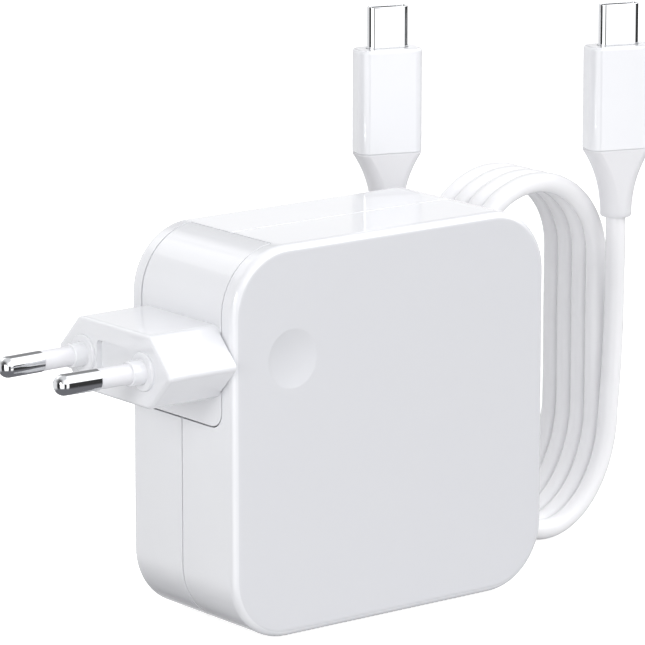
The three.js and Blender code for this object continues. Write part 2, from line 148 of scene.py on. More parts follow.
# ------------------------------------------------------------------ modelling


def turn_to(axis):
    """Turns a shape drawn in X and Y and pushed along Z: for Y its X and Y become X and Z, and for
    X they become Y and Z."""
    if axis == "Y":
        return Matrix(((1, 0, 0, 0), (0, 0, 1, 0), (0, 1, 0, 0), (0, 0, 0, 1)))
    if axis == "X":
        return Matrix(((0, 0, 1, 0), (1, 0, 0, 0), (0, 1, 0, 0), (0, 0, 0, 1)))
    return Matrix.Identity(4)


def push(bm, axis, low, high, rounds=(0, 0), segments=4):
    """Pushes the bmesh's one flat face from low to high, and rounds its two rims by rounds."""
    bmesh.ops.translate(bm, verts=bm.verts[:], vec=(0, 0, low))
    made = bmesh.ops.extrude_face_region(bm, geom=bm.faces[:])
    top = [v for v in made["geom"] if isinstance(v, bmesh.types.BMVert)]
    bmesh.ops.translate(bm, verts=top, vec=(0, 0, high - low))
    for level, size in ((low, rounds[0]), (high, rounds[1])):
        if size:
            rim = [e for e in bm.edges if all(abs(v.co.z - level) < 1e-5 for v in e.verts)]
            bmesh.ops.bevel(
                bm, geom=rim, offset=size, offset_type="OFFSET", segments=segments, profile=0.5,
                affect="EDGES", material=-1,
            )
    bmesh.ops.transform(bm, matrix=turn_to(axis), verts=bm.verts[:])
    bmesh.ops.remove_doubles(bm, verts=bm.verts[:], dist=1e-5)
    bmesh.ops.recalc_face_normals(bm, faces=bm.faces[:])
    return bm


def rounded_bar(axis, size, centre, radius, low, high, rounds=(0, 0), steps=10, segments=4):
    """A rounded rectangle, pushed along an axis."""
    bm = bmesh.new()
    bmesh.ops.create_grid(bm, x_segments=1, y_segments=1, size=0.5)
    bmesh.ops.scale(bm, vec=(size[0], size[1], 1), verts=bm.verts[:])
    if radius:
        most = min(size) / 2 - 1e-4
        bmesh.ops.bevel(
            bm, geom=bm.verts[:], offset=min(radius, most), offset_type="OFFSET", segments=steps,
            profile=0.5, affect="VERTICES", material=-1,
        )
    bmesh.ops.translate(bm, verts=bm.verts[:], vec=(centre[0], centre[1], 0))
    return push(bm, axis, low, high, rounds, segments)


def capsule_bar(axis, size, centre, low, high, steps=10):
    """A bar with round sides."""
    return rounded_bar(axis, size, centre, min(size) / 2, low, high, steps=steps)


def block(x, y, z):
    """A plain block, each of whose three ranges is (low, high)."""
    size = (x[1] - x[0], y[1] - y[0])
    return rounded_bar("Z", size, ((x[0] + x[1]) / 2, (y[0] + y[1]) / 2), 0, z[0], z[1])


def turned(profile, steps=48):
    """Spins a profile of (radius, height) pairs about Z."""
    bm = bmesh.new()
    line = [bm.verts.new((r, 0, h)) for r, h in profile]
    edges = [bm.edges.new(pair) for pair in zip(line, line[1:])]
    bmesh.ops.spin(
        bm, geom=line + edges, cent=(0, 0, 0), axis=(0, 0, 1), angle=math.tau, steps=steps,
        use_merge=True,
    )
    bmesh.ops.remove_doubles(bm, verts=bm.verts[:], dist=1e-5)
    bmesh.ops.recalc_face_normals(bm, faces=bm.faces[:])
    return bm


def arc(centre, radius, start, end, steps):
    """Points of an arc in a profile, angles in degrees from the radial direction."""
    angles = [math.radians(start + (end - start) * i / steps) for i in range(steps + 1)]
    return [(centre[0] + radius * math.cos(a), centre[1] + radius * math.sin(a)) for a in angles]


def loft(rings, steps=48):
    """Bridges a stack of rings, each (height, half width, half thickness, corner radius). A ring
    without a corner radius has round ends."""
    bm = bmesh.new()
    last = None
    for height, wide, thick, *corner in rings:
        radius = corner[0] if corner else thick
        ring = bmesh.ops.create_circle(bm, segments=steps, radius=radius)["verts"]
        for axis, spare in ((0, wide - radius), (1, thick - radius)):
            for side in (-1, 1):
                half = [v for v in ring if v.co[axis] * side > 1e-6]
                step = [0, 0, 0]
                step[axis] = side * spare
                bmesh.ops.translate(bm, verts=half, vec=step)
        bmesh.ops.translate(bm, verts=ring, vec=(0, 0, height))
        loop = list({e for v in ring for e in v.link_edges})
        if last:
            bmesh.ops.bridge_loops(bm, edges=last + loop)
        else:
            bmesh.ops.contextual_create(bm, geom=ring)
        last = loop
    bmesh.ops.contextual_create(bm, geom=ring)
    bmesh.ops.recalc_face_normals(bm, faces=bm.faces[:])
    return bm


def moved(bm, matrix):
    bmesh.ops.transform(bm, matrix=matrix, verts=bm.verts[:])
    if matrix.determinant() < 0:
        bmesh.ops.recalc_face_normals(bm, faces=bm.faces[:])
    return bm


def at(*place):
    return Matrix.Translation(place)


def settle(name, *parts):
    """One object from bmeshes, still in millimetres, with its place in its mesh."""
    whole = bmesh.new()
    for bm in parts:
        scrap = bpy.data.meshes.new("scrap")
        bm.to_mesh(scrap)
        whole.from_mesh(scrap)
        bm.free()
        bpy.data.meshes.remove(scrap)
    mesh = bpy.data.meshes.new(name)
    whole.to_mesh(mesh)
    whole.free()
    piece = bpy.data.objects.new(name, mesh)
    bpy.context.scene.collection.objects.link(piece)
    return piece


def freeze(piece):
    """Makes what the piece's modifiers give into its own mesh."""
    bpy.context.view_layer.update()
    graph = bpy.context.evaluated_depsgraph_get()
    made = bpy.data.meshes.new_from_object(piece.evaluated_get(graph), depsgraph=graph)
    piece.modifiers.clear()
    piece.data = made
    bm = bmesh.new()
    bm.from_mesh(made)
    bmesh.ops.remove_doubles(bm, verts=bm.verts[:], dist=1e-4)
    bmesh.ops.dissolve_degenerate(bm, dist=1e-4, edges=bm.edges[:])
    bm.to_mesh(made)
    bm.free()


def combine(piece, operation, *tools):
    """Cuts, joins or crosses a piece with tools, bmeshes or objects, which are used up."""
    made = [t if isinstance(t, bpy.types.Object) else settle("tool", t) for t in tools]
    for tool in made:
        step = piece.modifiers.new("combine", "BOOLEAN")
        step.object, step.operation, step.solver = tool, operation, "EXACT"
    freeze(piece)
    for tool in made:
        bpy.data.objects.remove(tool)
    return piece


def cut(piece, *tools):
    return combine(piece, "DIFFERENCE", *tools)


def join(piece, *tools):
    return combine(piece, "UNION", *tools)


def cross(piece, *tools):
    return combine(piece, "INTERSECT", *tools)


def dress(piece, body, material, replaces=(), sharp=38, round_edges=0):
    """Puts a piece in the row frame, in metres, and shades, paints and rides it."""
    piece.data.transform(ROW)
    piece.data.materials.clear()
    for one in material if isinstance(material, (list, tuple)) else [material]:
        piece.data.materials.append(one)
    piece.data.shade_smooth()
    if round_edges:
        step = piece.modifiers.new("round", "BEVEL")
        step.width, step.segments, step.limit_method = round_edges * MM, 2, "ANGLE"
        step.angle_limit = math.radians(sharp)
        step.use_clamp_overlap = True
    else:
        piece.data.set_sharp_from_angle(angle=math.radians(sharp))
    step = piece.modifiers.new("even shading", "WEIGHTED_NORMAL")
    step.keep_sharp = True
    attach(piece, body)
    if replaces:
        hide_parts(*replaces)
    return piece


# ------------------------------------------------------------------ materials


def linear(value):
    """A linear colour from an sRGB hex value."""
    parts = [int(value[i : i + 2], 16) / 255 for i in (1, 3, 5)]
    return [p / 12.92 if p <= 0.04045 else ((p + 0.055) / 1.055) ** 2.4 for p in parts] + [1]


def add(tree, kind, inputs=None, **settings):
    """Adds a node with its settings, and its inputs set to a value or linked to another node."""
    node = tree.nodes.new("ShaderNode" + kind)
    for key, value in settings.items():
        setattr(node, key, value)
    for key, value in (inputs or {}).items():
        if isinstance(value, bpy.types.NodeSocket):
            tree.links.new(value, node.inputs[key])
        else:
            node.inputs[key].default_value = value
    return node


def start(name, **surface):
    """A material, its node tree, its shader and its object coordinates."""
    made = bpy.data.materials.new(name)
    made.use_nodes = True
    tree = made.node_tree
    shader = tree.nodes["Principled BSDF"]
    for key, value in surface.items():
        shader.inputs[key.replace("_", " ")].default_value = value
    return made, tree, shader, add(tree, "TexCoord").outputs["Object"]


def skin(tree, share, light, dark, height, strength, depth):
    """Colours a material from light to dark by share, and raises it by height, whose full relief
    is depth in millimetres."""
    shader = tree.nodes["Principled BSDF"]
    tint = add(tree, "Mix", {
        "Factor": share, "A": linear(light), "B": linear(dark),
    }, data_type="RGBA")
    tree.links.new(tint.outputs[2], shader.inputs["Base Color"])
    bump = add(tree, "Bump", {"Height": height, "Strength": strength, "Distance": depth * MM})
    tree.links.new(bump.outputs["Normal"], shader.inputs["Normal"])


def moulded(name, light, dark, roughness, grain, depth, IOR=1.5, spread=0.05, **surface):
    """Moulded plastic or rubber: a grain of that size and depth in millimetres, a faint drift of
    colour over centimetres, and roughness that varies by spread."""
    made, tree, shader, where = start(name, IOR=IOR, **surface)
    drift = add(tree, "TexNoise", {"Vector": where, "Scale": 60, "Detail": 3})
    fine = add(tree, "TexNoise", {"Vector": where, "Scale": 1 / (grain * MM), "Detail": 2})
    rough = add(tree, "MapRange", {
        "Value": drift.outputs["Fac"], "To Min": roughness - spread, "To Max": roughness + spread,
    })
    tree.links.new(rough.outputs["Result"], shader.inputs["Roughness"])
    skin(tree, drift.outputs["Fac"], light, dark, fine.outputs["Fac"], 0.5, depth)
    return made


def metal(name, light, dark, roughness, line, depth, stretch):
    """Drawn, rolled or turned metal: fine lines of that width in millimetres, which run along the
    axes in stretch."""
    made, tree, shader, where = start(name, Metallic=1)
    along = [0.04 if axis in stretch else 1 for axis in "XYZ"]
    run = add(tree, "Mapping", {"Vector": where, "Scale": along})
    lines = add(tree, "TexNoise", {
        "Vector": run.outputs["Vector"], "Scale": 1 / (line * MM), "Detail": 4,
    })
    cloud = add(tree, "TexNoise", {"Vector": where, "Scale": 250, "Detail": 2})
    rough = add(tree, "MapRange", {
        "Value": lines.outputs["Fac"], "To Min": roughness * 0.75, "To Max": roughness * 1.3,
    })
    tree.links.new(rough.outputs["Result"], shader.inputs["Roughness"])
    skin(tree, cloud.outputs["Fac"], light, dark, lines.outputs["Fac"], 0.4, depth)
    return made


FINISHES = {}


def finish(name):
    """Each material is made once, when a piece first asks for it."""
    if name not in FINISHES:
        FINISHES[name] = MAKERS[name]()
    return FINISHES[name]


def satin_polycarbonate():
    # Spark-eroded mould: an even grain that spreads highlights over the large faces. The real one
    # is too fine to show, so it is drawn coarser, at 0.25 mm.
    s = bpy.context.scene.brick
    return moulded("satin_polycarbonate", s.face_colour, "#D9DADE", 0.42, 0.25, 0.012, IOR=1.58)


def gloss_polycarbonate():
    # Polished mould: mirror-like, with the faint waviness that moulded sides have.
    s = bpy.context.scene.brick
    return moulded(
        "gloss_polycarbonate", s.side_colour, "#EEEFF3", 0.08, 6, 0.02, IOR=1.58, spread=0.03,
        Coat_Weight=0.5,
    )


def sleeve_nylon():
    # Moulded over the pins: a softer sheen than the plug has.
    return moulded("sleeve_nylon", "#EFEFF2", "#E9E9ED", 0.35, 0.2, 0.008, IOR=1.53)


def nickel_plate():
    # Bright plating over turned brass: nearly a mirror, with faint rings from the lathe.
    return metal("nickel_plate", "#EDEEF0", "#E0E2E4", 0.05, 0.12, 0.001, "YZ")


def drawn_steel():
    # Deep-drawn and polished stainless steel, with fine lines along the draw.
    return metal("drawn_steel", "#EFF0F1", "#E4E5E7", 0.06, 0.08, 0.001, "Z")


def gold_contact():
    # Gold flash on stamped springs: warm and bright, with faint lines from rolling.
    return metal("gold_contact", "#E8C15A", "#D9AC42", 0.16, 0.1, 0.002, "Z")


def stamped_brass():
    # Left bare where it is hidden: yellow and a little dull, with lines from rolling.
    return metal("stamped_brass", "#CFA653", "#B98D3B", 0.25, 0.15, 0.004, "Z")


def jacket_elastomer():
    # Extruded soft elastomer: satin, with a faint grain.
    s = bpy.context.scene.cable
    return moulded(
        "jacket_elastomer", s.jacket_colour, "#F7F7F9", 0.25, 0.18, 0.01, IOR=1.5,
        Subsurface_Weight=0.06, Subsurface_Radius=(0.002, 0.002, 0.002),
    )


def relief_elastomer():
    # Overmoulded soft elastomer: duller than the grip above it, and a little greyer.
    return moulded("relief_elastomer", "#EAEAEC", "#E6E6E9", 0.42, 0.3, 0.008, IOR=1.5)


def black_nylon():
    # Glass-filled and moulded: near black, with a dull, slightly mottled surface.
    return moulded("black_nylon", "#202124", "#2A2B2E", 0.45, 0.2, 0.01, IOR=1.53)


def capacitor_sleeve():
    # Shrunk PVC sleeve: tight and fairly glossy over the can.
    return moulded("capacitor_sleeve", "#17181B", "#202226", 0.3, 0.8, 0.01, IOR=1.54)


def film():
    # Insulating polyester: pale, slightly wavy and glossy.
    return moulded("polyester_film", "#DCDCCF", "#E4E4D8", 0.25, 1.5, 0.02, IOR=1.6)


def tape():
    # Wound polyester tape: amber, and wrinkled a little between its laps.
    return moulded("polyester_tape", "#E0B838", "#D2A62B", 0.3, 1.2, 0.03, IOR=1.6)


def ferrite():
    # Pressed and fired: dark grey and matt, with a gritty surface.
    return moulded("sintered_ferrite", "#2B2C2F", "#37383C", 0.6, 0.3, 0.03, IOR=1.8)


def epoxy():
    # Dipped coating: blue, glossy and slightly lumpy.
    return moulded("dipped_epoxy", "#2D5FA8", "#27549A", 0.22, 1.5, 0.05, IOR=1.55)


def sheet_aluminium():
    # Mill finish: soft grey reflections, drawn out by lines from rolling.
    return metal("sheet_aluminium", "#C3C6CA", "#B2B5B9", 0.35, 0.2, 0.006, "Z")


def laminate():
    """Solder mask over copper: a darker green with lighter tracks."""
    made, tree, shader, where = start("solder_masked_laminate", Roughness=0.3, IOR=1.55)
    cells = add(tree, "TexVoronoi", {
        "Vector": where, "Scale": 350, "Randomness": 0.6,
    }, distance="CHEBYCHEV")
    tracks = add(tree, "ValToRGB", {"Fac": cells.outputs["Distance"]})
    tracks.color_ramp.elements[0].color = linear("#2A7A48")
    tracks.color_ramp.elements[1].color = linear("#1B5C36")
    tracks.color_ramp.elements[1].position = 0.35
    tree.links.new(tracks.outputs["Color"], shader.inputs["Base Color"])
    bump = add(tree, "Bump", {
        "Height": cells.outputs["Distance"], "Strength": 0.5, "Distance": 0.03 * MM,
    })
    tree.links.new(bump.outputs["Normal"], shader.inputs["Normal"])
    return made


def enamelled_wire():
    """Round copper wire in clear brown enamel, wound side by side on the choke. Its ridges are
    drawn about 2 mm apart, coarser than the wire, so that they show."""
    made, tree, _, where = start("enamelled_wire", Metallic=1, Roughness=0.28)
    wires = add(tree, "TexWave", {
        "Vector": where, "Scale": 160, "Distortion": 0.5,
    }, bands_direction="Z")
    ridges = wires.outputs["Fac"]
    # The colour follows the ridges' height: painted shade in the grooves between turns, and a
    # painted highlight along the crests.
    skin(tree, ridges, "#8A4A22", "#C77B48", ridges, 0.8, 0.3)
    return made


def hook_and_loop():
    """Woven nylon tape with a brushed face: soft, matt and crossed by threads. Real ones, 0.5 mm
    apart, are too fine to show, so the waves are drawn about 1 mm apart."""
    made, tree, _, where = start(
        "hook_and_loop", Roughness=0.85, IOR=1.53, Sheen_Weight=0.4, Sheen_Roughness=0.5,
    )
    thread = 0.5 * MM
    across, along = (
        add(tree, "TexWave", {
            "Vector": where, "Scale": 1 / (6.28 * thread), "Distortion": 1.5,
        }, bands_direction=way).outputs["Fac"]
        for way in ("DIAGONAL", "Z")
    )
    both = add(tree, "Math", {0: across, 1: along}, operation="MULTIPLY")
    fuzz = add(tree, "TexNoise", {"Vector": where, "Scale": 4000, "Detail": 3})
    high = add(tree, "Math", {0: both.outputs["Value"], 1: fuzz.outputs["Fac"]}, operation="ADD")
    # The colour follows the weave's height: painted shade in the hollows between threads, and a
    # painted highlight where they cross.
    skin(tree, both.outputs["Value"], "#D4D4D8", "#EDEDF0", high.outputs["Value"], 0.7, 0.12)
    return made


MAKERS = {f.__name__: f for f in (
    satin_polycarbonate, gloss_polycarbonate, sleeve_nylon, nickel_plate, drawn_steel, gold_contact,
    stamped_brass, jacket_elastomer, relief_elastomer, black_nylon, capacitor_sleeve, film, tape,
    ferrite, epoxy, sheet_aluminium, laminate, enamelled_wire, hook_and_loop,
)}


# ------------------------------------------------------------------ stage


AIM = Vector((0.013, 0, 0.05398))  # what the camera looks at
SOFTBOX_AIM = (0, 0, 0.04)
STUDIO_LIGHT = 1.56  # strength of the studio's own light
FLOOR_GLOW = 0.85


def softbox(name, place, size, power):
    """A rectangular light that faces the adapter."""
    light = bpy.data.lights.new(name, "AREA")
    light.shape, light.size, light.size_y, light.energy = "RECTANGLE", size[0], size[1], power
    lamp = bpy.data.objects.new(name, light)
    lamp.location = place
    lamp.rotation_mode = "QUATERNION"
    lamp.rotation_quaternion = (Vector(SOFTBOX_AIM) - Vector(place)).to_track_quat("-Z", "Y")
    bpy.context.scene.collection.objects.link(lamp)


# The studio round the adapter: how bright it is near the horizon, and higher up, at each turn in
# degrees from straight in front. The dark places are flags that draw lines along gloss and plating.
LOW_RING = (
    (-180, 0.6), (-150, 0.6), (-120, 0.5), (-110, 0.02), (-82, 0.02), (-74, 1.1), (-34, 1.1),
    (-28, 0.03), (-8, 0.03), (-3, 0.9), (22, 0.8), (28, 0.03), (112, 0.03), (124, 0.6), (180, 0.6),
)
HIGH_RING = (
    (-180, 0.8), (-150, 0.5), (-110, 0.08), (-70, 0.1), (-40, 0.7), (0, 1.2), (60, 1.7),
    (100, 1.5), (116, 0.2), (160, 0.2), (172, 0.9), (180, 0.8),
)
ZENITH, NADIR = (0.5, 0.5, 0.51, 1), (0.12, 0.12, 0.13, 1)


def surroundings():
    """A pale studio with darker flags, for gloss and plating to mirror. The camera itself sees
    plain white."""
    world = bpy.data.worlds.new("studio")
    bpy.context.scene.world = world
    world.use_nodes = True
    tree = world.node_tree
    plain = tree.nodes["Background"]
    plain.inputs["Color"].default_value = (1, 1, 1, 1)
    plain.inputs["Strength"].default_value = 1.0
    way = add(tree, "SeparateXYZ", {"Vector": add(tree, "TexCoord").outputs["Generated"]})
    forward = add(tree, "Math", {0: way.outputs["Y"], 1: -1.0}, operation="MULTIPLY")
    around = add(tree, "Math", {
        0: way.outputs["X"], 1: forward.outputs["Value"],
    }, operation="ARCTAN2")
    turn = add(tree, "MapRange", {
        "Value": around.outputs["Value"], "From Min": -math.pi, "From Max": math.pi,
    })
    rings = []
    for stops in (LOW_RING, HIGH_RING):
        ring = add(tree, "ValToRGB", {"Fac": turn.outputs["Result"]})
        for degrees, _ in stops[1:-1]:
            ring.color_ramp.elements.new((degrees + 180) / 360)
        for element, (_, level) in zip(ring.color_ramp.elements, stops):
            element.color = (level, level, level * 1.01, 1)
        rings.append(ring.outputs["Color"])
    # From straight down to straight up, each layer blends into the next between two heights.
    light = NADIR
    for low, high, above in ((-0.6, -0.35, rings[0]), (0.2, 0.36, rings[1]), (0.75, 0.95, ZENITH)):
        share = add(tree, "MapRange", {
            "Value": way.outputs["Z"], "From Min": low, "From Max": high,
        })
        light = add(tree, "Mix", {
            "Factor": share.outputs["Result"], "A": light, "B": above,
        }, data_type="RGBA").outputs[2]
    seen = add(tree, "Background", {"Color": light, "Strength": STUDIO_LIGHT})
    ray = add(tree, "LightPath")
    mix = add(tree, "MixShader", {
        "Fac": ray.outputs["Is Camera Ray"], 1: seen.outputs["Background"],
        2: plain.outputs["Background"],
    })
    tree.links.new(mix.outputs["Shader"], tree.nodes["World Output"].inputs["Surface"])


class ADAPTER_OT_stage(bpy.types.Operator):
    """Makes the camera, the floor, the lights and the studio around them"""

    bl_idname = "adapter.stage"
    bl_label = "Stage"

    def execute(self, context):
        s = context.scene.stage
        a, e = s.azimuth, s.elevation
        back = Vector((math.sin(a) * math.cos(e), -math.cos(a) * math.cos(e), math.sin(e)))
        camera = bpy.data.objects.new("camera", bpy.data.cameras.new("camera"))
        context.scene.collection.objects.link(camera)
        camera.data.lens, camera.data.sensor_width = s.lens, 36
        camera.location = AIM + back * s.distance
        camera.rotation_mode = "QUATERNION"
        camera.rotation_quaternion = (-back).to_track_quat("-Z", "Y")
        context.scene.camera = camera
        context.scene.view_settings.view_transform = "Standard"

        bm = bmesh.new()
        bmesh.ops.create_circle(bm, segments=64, radius=12, cap_ends=True)
        mesh = bpy.data.meshes.new("floor")
        bm.to_mesh(mesh)
        bm.free()
        floor = bpy.data.objects.new("floor", mesh)
        context.scene.collection.objects.link(floor)
        floor.location.z = -0.2 * MM
        made, tree, shader, where = start("seamless_paper", Roughness=0.9)
        paper = add(tree, "TexNoise", {"Vector": where, "Scale": 900, "Detail": 2})
        tint = add(tree, "Mix", {
            "Factor": paper.outputs["Fac"], "A": linear("#CACACA"), "B": linear("#CFCFCF"),
        }, data_type="RGBA")
        tree.links.new(tint.outputs[2], shader.inputs["Base Color"])
        shader.inputs["Emission Color"].default_value = (1, 1, 1, 1)
        # The paper glows for the camera alone, and gloss mirrors the studio through it, so that the
        # flags reach the undersides too.
        ray = add(tree, "LightPath")
        glow = add(tree, "Math", {
            0: ray.outputs["Is Camera Ray"], 1: FLOOR_GLOW,
        }, operation="MULTIPLY")
        tree.links.new(glow.outputs["Value"], shader.inputs["Emission Strength"])
        clear = add(tree, "BsdfTransparent")
        split = add(tree, "MixShader", {
            "Fac": ray.outputs["Is Glossy Ray"], 1: shader.outputs["BSDF"],
            2: clear.outputs["BSDF"],
        })
        tree.links.new(split.outputs["Shader"], tree.nodes["Material Output"].inputs["Surface"])
        mesh.materials.append(made)
        surroundings()
        softbox("key", (-0.85, -0.28, 0.36), (0.25, 0.25), s.key * 2.8)
        softbox("top", (-0.25, 0.75, 0.7), (0.5, 0.3), s.key * 0.4)
        return {"FINISHED"}


# ------------------------------------------------------------------ cable

PITCH = 4.3  # from one turn of the coil to the next
COIL_X = 57.7
TIE_LOW, TIE_WIDTH = 25.5, 10
LEFT_TOP = (34.4, 29.0, 63.9)  # under the left plug's collar
RIGHT_TOP = (74.0, 6.0, 63.5)

# The leads' routes: the left one down to the coil, the right one up from it
LEFT_LEAD = [
    (34.4, 29.0, 68.0), LEFT_TOP, (35.2, 29.0, 58.0), (37.1, 29.0, 52.0), (39.2, 29.0, 46.5),
    (40.9, 29.0, 41.0), (41.4, 29.0, 36.0), (41.4, 29.0, 31.0),
]
RIGHT_LEAD = [
    (74.6, 7.5, 31.0), (75.0, 7.5, 38.0), (75.1, 7.4, 44.0), (74.9, 7.1, 50.0), (74.4, 6.4, 57.0),
    RIGHT_TOP, (74.0, 6.0, 68.0),
]


def sweep(side, bottom, y, drop, steps=20):
    """Half a turn of the coil, over the top or under the bottom, starting from the given side. On
    the way under, its first half moves forward by drop."""
    s = bpy.context.scene.cable
    half, r = s.half_width / MM, s.diameter / 2 / MM
    tall = s.drop / MM if bottom else half
    z = r + tall if bottom else s.height / MM - r - half
    points = []
    for i in range(steps + 1):
        t = i / steps
        a = math.pi * t
        ease = min(1, 2 * t)
        ease = ease * ease * (3 - 2 * ease)
        lift = -math.sin(a) if bottom else math.sin(a)
        points.append((COIL_X + side * half * math.cos(a), y - drop * ease, z + tall * lift))
    return points


def straight(start_at, end_at, steps=4):
    a, b = Vector(start_at), Vector(end_at)
    return [tuple(a.lerp(b, i / steps)) for i in range(1, steps)]


def cable_route():
    """The cable's centreline, from inside the left strain relief, down behind the coil, round its
    turns from back to front, and up into the right strain relief."""
    s = bpy.context.scene.cable
    back = LEFT_TOP[1]
    route = list(LEFT_LEAD)
    for turn in range(s.turns + 1):
        y = back - PITCH * turn
        route += sweep(-1, True, y, PITCH)
        if turn < s.turns:
            over = sweep(1, False, y - PITCH, 0)
            route += straight(route[-1], over[0]) + over
            under = sweep(-1, True, y - PITCH, PITCH)
            route += straight(route[-1], under[0])
    return route + RIGHT_LEAD


def smooth_through(points, per_span=2):
    """A Catmull-Rom line through the points, with per_span steps between each pair."""
    p = [Vector(q) for q in points]
    p = [p[0] * 2 - p[1], *p, p[-1] * 2 - p[-2]]
    line = []
    for a, b, c, d in zip(p, p[1:], p[2:], p[3:]):
        for i in range(per_span):
            t = i / per_span
            line.append(0.5 * (2 * b + (c - a) * t + (2 * a - 5 * b + 4 * c - d) * t * t
                               + (3 * b - 3 * c + d - a) * t ** 3))
    return line + [p[-2]]


class ADAPTER_OT_cable(bpy.types.Operator):
    """Lays the cable: its left lead, its coil and its right lead, in one run"""

    bl_idname = "adapter.cable"
    bl_label = "Cable"

    def execute(self, context):
        s = context.scene.cable
        line = smooth_through(cable_route())
        curve = bpy.data.curves.new("usb_cable", "CURVE")
        curve.dimensions, curve.bevel_depth, curve.bevel_resolution = "3D", s.diameter / 2, 7
        curve.use_fill_caps = True
        spline = curve.splines.new("POLY")
        spline.points.add(len(line) - 1)
        for point, place in zip(spline.points, line):
            point.co = (*(ROW @ place), 1)
        spline.use_smooth = True
        curve.materials.append(finish("jacket_elastomer"))
        cable = bpy.data.objects.new("usb_cable", curve)
        context.scene.collection.objects.link(cable)
        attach(cable, "cable")
        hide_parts("cable_coil", "cable_lead_left", "cable_lead_right")
        return {"FINISHED"}


def declare_cable():
    """Works out the cable's smoothed centreline once more, once its plugs and tie are made, and
    keeps nothing of it.
    """
    line = smooth_through(cable_route())


class ADAPTER_OT_tie(bpy.types.Operator):
    """Straps a hook-and-loop tie round the left side of the coil"""

    bl_idname = "adapter.tie"
    bl_label = "Cable tie"

    def execute(self, context):
        s = context.scene.cable
        left = COIL_X - s.half_width / MM
        reach = s.diameter / 2 / MM + GAP
        back, front = LEFT_TOP[1] + reach, LEFT_TOP[1] - s.turns * PITCH - reach
        thick = 1.1
        size = (2 * reach + thick, back - front + thick)
        middle = (left, (back + front) / 2)
        bm = bmesh.new()
        bmesh.ops.create_grid(bm, x_segments=1, y_segments=1, size=0.5)
        bmesh.ops.scale(bm, vec=(*size, 1), verts=bm.verts[:])
        bmesh.ops.bevel(
            bm, geom=bm.verts[:], offset=1.6, offset_type="OFFSET", segments=8, profile=0.5,
            affect="VERTICES", material=-1,
        )
        bmesh.ops.delete(bm, geom=bm.faces[:], context="FACES_ONLY")
        bmesh.ops.translate(bm, verts=bm.verts[:], vec=(*middle, TIE_LOW))
        # The end laps over the strap on the side away from the brick, and its tip stands off it.
        out = left + size[0] / 2 + thick * 0.95
        tail = [
            (out - 0.9, front + 0.5), (out - 0.1, front + 2), (out, front + 5), (out, front + 10),
            (out + 0.2, front + 14), (out + 0.9, front + 16.5),
        ]
        ends = [bm.verts.new((x, y, TIE_LOW)) for x, y in tail]
        for pair in zip(ends, ends[1:]):
            bm.edges.new(pair)
        made = bmesh.ops.extrude_edge_only(bm, edges=bm.edges[:])
        top = [v for v in made["geom"] if isinstance(v, bmesh.types.BMVert)]
        bmesh.ops.translate(bm, verts=top, vec=(0, 0, TIE_WIDTH))
        bmesh.ops.recalc_face_normals(bm, faces=bm.faces[:])
        strap = settle("cable_tie_strap", bm)
        wall = strap.modifiers.new("wall", "SOLIDIFY")
        wall.thickness, wall.offset = thick * MM, 0
        rim = strap.modifiers.new("rim", "BEVEL")
        rim.width, rim.segments, rim.limit_method = 0.3 * MM, 2, "ANGLE"
        dress(strap, "cable", finish("hook_and_loop"), ["cable_tie"])
        return {"FINISHED"}


# ------------------------------------------------------------------ USB-C plugs

COLLAR = 3.1  # radius of the strain relief's end
GRIP_CORNER = 2.4  # radius of the grip's long corners
GRIP_EASE = 0.7  # rounding of the grip's top
LAP = 0.15  # how far a rim steps in where two pieces meet
CONTACT_ROW = [-2.75 + i * 0.5 for i in range(12)]  # across a USB-C connector, from its middle


def plug_relief(s):
    """A soft collar round the cable that flares out to the grip's outline."""
    wide, thick, height = s.grip_width / 2 / MM, s.grip_thickness / 2 / MM, s.relief_length / MM
    rim, steps = 0.35, 16
    rings = [(0, COLLAR - 0.45, COLLAR - 0.45), (0.08, COLLAR - 0.15, COLLAR - 0.15)]
    rings += [(rim, COLLAR, COLLAR)]
    for i in range(1, steps + 1):
        t = i / steps
        rings.append((
            rim + (height - rim) * t, COLLAR + (wide - COLLAR) * t ** 2.4,
            COLLAR + (thick - COLLAR) * t, COLLAR + (GRIP_CORNER - COLLAR) * t,
        ))
    # A tongue closes the gap under the grip.
    rings += [(height + z, wide - LAP, thick - LAP, GRIP_CORNER - LAP) for z in (0.02, 0.26)]
    return loft(rings)


def plug_grip(s, low, high):
    """The glossy moulded body, with rounded corners and ends."""
    wide, thick, corner = s.grip_width / 2 / MM, s.grip_thickness / 2 / MM, GRIP_CORNER
    rings = [(low, wide - LAP, thick - LAP, corner - LAP), (low + LAP, wide, thick, corner)]
    rings += [(high - GRIP_EASE, wide, thick, corner)]
    rings += [(high - GRIP_EASE + z, wide - GRIP_EASE + x, thick - GRIP_EASE + x,
               corner - GRIP_EASE + x) for x, z in arc((0, 0), GRIP_EASE, 15, 90, 5)]
    return loft(rings)


def plug_shell(s, low, high):
    """A drawn steel shell, open at its mouth, with a rolled rim."""
    wide, thick, wall = s.shell_width / 2 / MM, s.shell_thickness / 2 / MM, 0.32
    rings = [(low, wide - 0.01, thick - 0.01), (low + 0.01, wide, thick)]
    rings += [(high - 0.35, wide, thick)]
    rings += [(high - wall / 2 + z, wide - wall / 2 + x, thick - wall / 2 + x)
              for x, z in arc((0, 0), wall / 2, 0, 180, 6)]
    rings += [(high - 0.5, wide - wall, thick - wall), (low + 0.4, wide - wall, thick - wall)]
    return loft(rings)


